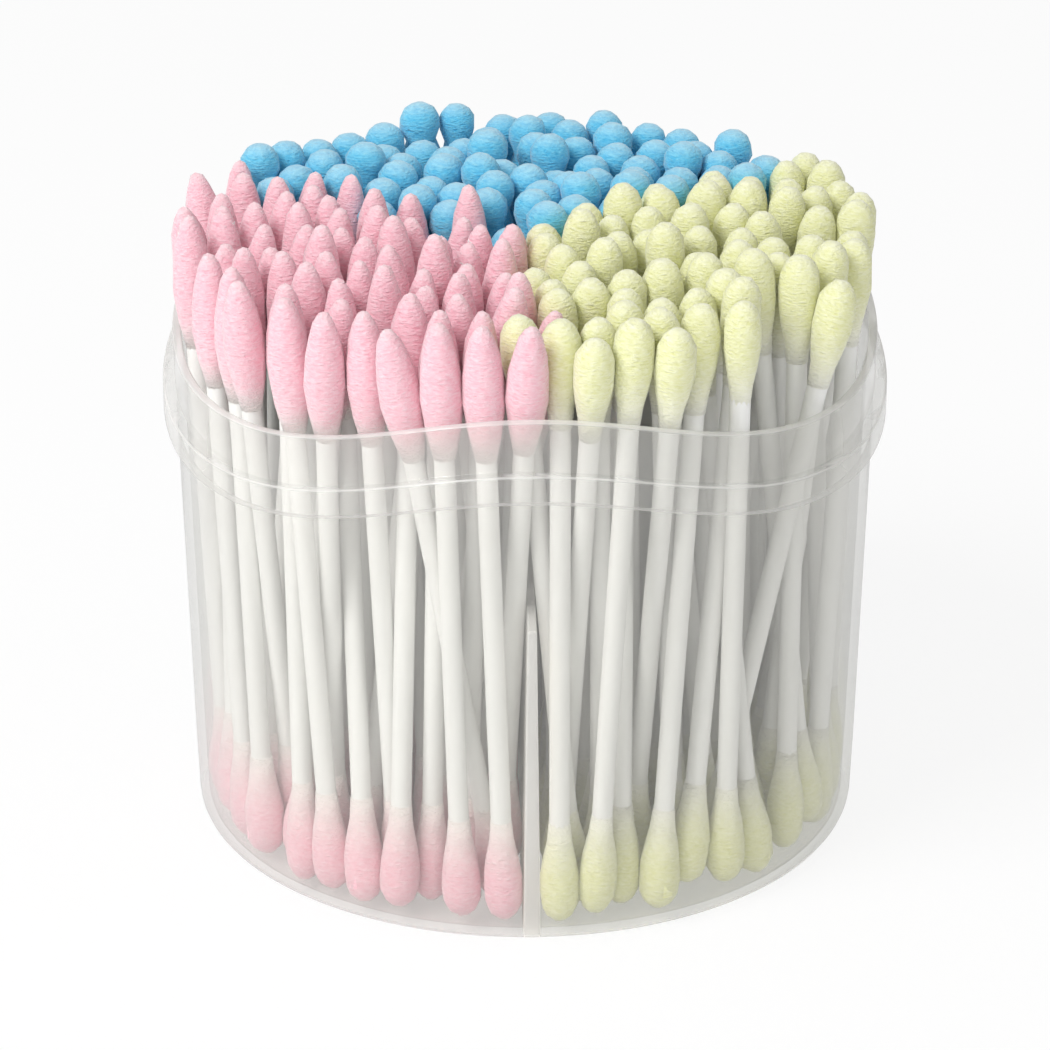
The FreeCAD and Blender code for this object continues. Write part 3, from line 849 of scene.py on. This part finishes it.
def make_paper(name, shade, bright):
    """Rolled paper between two whites."""
    material = new_material(name)
    where = add_node(material, "ShaderNodeTexCoord")
    stretched = add_node(material, "ShaderNodeMapping",
                         {"Scale": (1 / GRAIN_WIDTH, 1 / GRAIN_WIDTH, 1 / GRAIN_LENGTH)},
                         Vector=where.outputs["Object"])
    grain = add_node(material, "ShaderNodeTexNoise", {"Scale": 1.0, "Detail": 3.0},
                     Vector=stretched.outputs[0])
    tone = add_node(material, "ShaderNodeMix",
                    {"data_type": "RGBA", "i6": linear(shade), "i7": linear(bright)},
                    i0=grain.outputs["Fac"])
    bump = add_node(material, "ShaderNodeBump",
                    {"Strength": PAPER_BUMP, "Distance": PAPER_RELIEF},
                    Height=grain.outputs["Fac"])
    sheet = add_node(material, "ShaderNodeBsdfPrincipled",
                     {"Roughness": 0.7, "Specular IOR Level": 0.3},
                     Base_Color=tone.outputs[2], Normal=bump.outputs[0])
    add_node(material, "ShaderNodeOutputMaterial", Surface=sheet.outputs[0])
    return material


paper = make_paper("paper_rolled_white", "#EDEDEA", "#F9F9F7")
for colour in COLOURS:
    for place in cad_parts[f"{colour}_sticks"].material_slots:
        place.material = paper
print("sticks are", paper.name)

# %% [markdown]
# ## Floor and light
#
# The photograph is cut out on white, so the floor is white and large. Its paint is mostly a plain
# white glow for the rays that the camera and the gloss send, which hides the horizon, and keeps a
# share of ordinary paint, which takes the soft shadow.

# %% Floor
FLOOR_WIDTH = 6
FLOOR_DROP = 0.05 * MM
FLOOR_GLOW = 0.86
bpy.ops.object.select_all(action="DESELECT")
bpy.ops.mesh.primitive_plane_add(size=FLOOR_WIDTH, location=(0, 0, -FLOOR_DROP))
floor = bpy.context.object
floor.name = "floor"
floor_paint = new_material("backdrop_paper_white")
white = add_node(floor_paint, "ShaderNodeBsdfDiffuse", {"Color": linear("#FAFAFA")})
lit = add_node(floor_paint, "ShaderNodeEmission", {"Color": (1, 1, 1, 1), "Strength": 1.0})
ray = add_node(floor_paint, "ShaderNodeLightPath")
direct = add_node(floor_paint, "ShaderNodeMath", {"operation": "ADD", "use_clamp": True},
                  i0=ray.outputs["Is Camera Ray"], i1=ray.outputs["Is Glossy Ray"])
seen = add_node(floor_paint, "ShaderNodeMath", {"operation": "ADD", "use_clamp": True},
                i0=direct.outputs[0], i1=ray.outputs["Is Transmission Ray"])
share = add_node(floor_paint, "ShaderNodeMath", {"operation": "MULTIPLY", "i1": FLOOR_GLOW},
                 i0=seen.outputs[0])
backdrop = add_node(floor_paint, "ShaderNodeMixShader",
                    i0=share.outputs[0], i1=white.outputs[0], i2=lit.outputs[0])
add_node(floor_paint, "ShaderNodeOutputMaterial", Surface=backdrop.outputs[0])
floor.data.materials.append(floor_paint)
print("floor", FLOOR_WIDTH, "m wide")

# %% [markdown]
# The sky gives an even light from all sides and keeps the shadows open. The key lamp, upper left,
# gives the tips their shape, the front lamp lights the sticks through the wall, and a weak lamp on
# the right keeps that side from going grey.

# %% Light
SKY_STRENGTH = 0.5
LAMP_AIM = Vector((0, 0, 45 * MM))

world = bpy.data.worlds.new("soft_sky")
bpy.context.scene.world = world
world.use_nodes = True
background = world.node_tree.nodes["Background"]
background.inputs["Color"].default_value = (1, 1, 1, 1)
background.inputs["Strength"].default_value = SKY_STRENGTH


def area_lamp(name, place, size, power):
    """A square lamp that points at the tub; metres and watts."""
    bpy.ops.object.light_add(type="AREA", location=place)
    lamp = bpy.context.object
    lamp.name = name
    lamp.data.size = size
    lamp.data.energy = power
    aim = LAMP_AIM - Vector(place)
    lamp.rotation_euler = aim.to_track_quat("-Z", "Y").to_euler()
    print(name, power, "W")


area_lamp("key_lamp", (-0.5, -0.4, 0.75), 0.4, 5.7)
area_lamp("right_lamp", (0.8, -0.2, 0.35), 0.35, 0.5)
area_lamp("front_lamp", (-0.2, -0.9, 0.2), 0.5, 1.3)

bpy.context.scene.view_settings.view_transform = "Standard"
